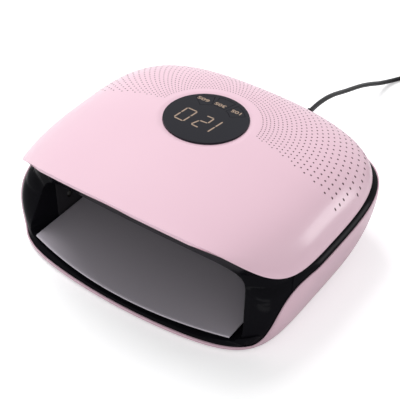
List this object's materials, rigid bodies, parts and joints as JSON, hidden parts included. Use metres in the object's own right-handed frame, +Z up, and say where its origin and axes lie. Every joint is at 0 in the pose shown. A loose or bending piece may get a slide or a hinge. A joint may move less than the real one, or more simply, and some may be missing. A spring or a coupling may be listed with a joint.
{
  "type": "led nail lamp",
  "caption": "Low domed nail-curing lamp with a wide hand opening, round display with time keys, vented cover, black frame, sliding floor tray and plug-in lead.",
  "frame": {"origin": "on the table, under the middle of the lamp without its lead", "axes": "+Z up; -Y towards the person, out of the hand opening; +X to the right as seen from the hand opening, the side of the lead's inlet"},
  "size_m": [0.3103, 0.388, 0.0911],
  "materials": {
    "pink_gloss": "pearl pink, smooth and glossy",
    "window_black": "smoked black, polished",
    "inner_black": "plain moulded",
    "steel": "plain bright metal",
    "board_green": "lacquered circuit board",
    "digit_white": "digit block, pale",
    "frame_black": "black, glossy",
    "chamber_dark": "plain moulded",
    "board_white": "white lacquered circuit board",
    "bead_clear": "clear lamp beads",
    "sensor_dark": "dark filter",
    "part_dark": "circuit board parts",
    "tray_silver": "satin",
    "foot_rubber": "plain",
    "lead_black": "soft satin",
    "tie_grey": "plain",
    "adapter_black": "fine texture"
  },
  "bodies": {
    "lamp": {"top_cover": "pink_gloss", "display_window": "window_black", "window_holder": "inner_black", "holder_screws": "steel", "control_board": "board_green", "digit_module": "digit_white", "key_switches": "steel", "front_frame": "frame_black", "side_band": "frame_black", "chamber_ceiling_panel": "chamber_dark", "chamber_left_panel": "chamber_dark", "chamber_right_panel": "chamber_dark", "chamber_floor_panel": "chamber_dark", "chamber_rear_panel": "chamber_dark", "ceiling_led_board": "board_white", "left_led_board": "board_white", "right_led_board": "board_white", "ceiling_beads": "bead_clear", "left_beads": "bead_clear", "right_beads": "bead_clear", "board_screws": "steel", "hand_sensor": "sensor_dark", "power_board": "board_green", "power_parts": "part_dark", "dc_jack": "inner_black", "lower_shell": "pink_gloss", "tray_magnets": "steel", "rubber_feet": "foot_rubber", "case_screws": "steel"},
    "key_10s": {"key_10s": "window_black"},
    "key_30s": {"key_30s": "window_black"},
    "key_60s": {"key_60s": "window_black"},
    "tray": {"floor_tray": "tray_silver"},
    "lead": {"dc_plug": "lead_black", "plug_relief": "lead_black", "lead_run": "lead_black", "lead_coil": "lead_black", "coil_tie": "tie_grey", "adapter_relief": "lead_black", "power_adapter": "adapter_black", "adapter_pins": "steel"}
  },
  "joints": [
    {"name": "key_10s_press", "type": "slide", "parent": "lamp", "child": "key_10s", "axis": [0, -0.0523, -0.9986], "range_m": [0, 0.0005], "stiffness_N_per_m": 1500, "springref_m": -0.0005},
    {"name": "key_30s_press", "type": "slide", "parent": "lamp", "child": "key_30s", "axis": [0, -0.0523, -0.9986], "range_m": [0, 0.0005], "stiffness_N_per_m": 1500, "springref_m": -0.0005},
    {"name": "key_60s_press", "type": "slide", "parent": "lamp", "child": "key_60s", "axis": [0, -0.0523, -0.9986], "range_m": [0, 0.0005], "stiffness_N_per_m": 1500, "springref_m": -0.0005},
    {"name": "tray_slide", "type": "slide", "parent": "lamp", "child": "tray", "axis": [0, -1, 0], "range_m": [0, 0.1]},
    {"name": "plug_pull", "type": "slide", "parent": "lamp", "child": "lead", "axis": [0, 1, 0], "range_m": [0, 0.012]}
  ]
}
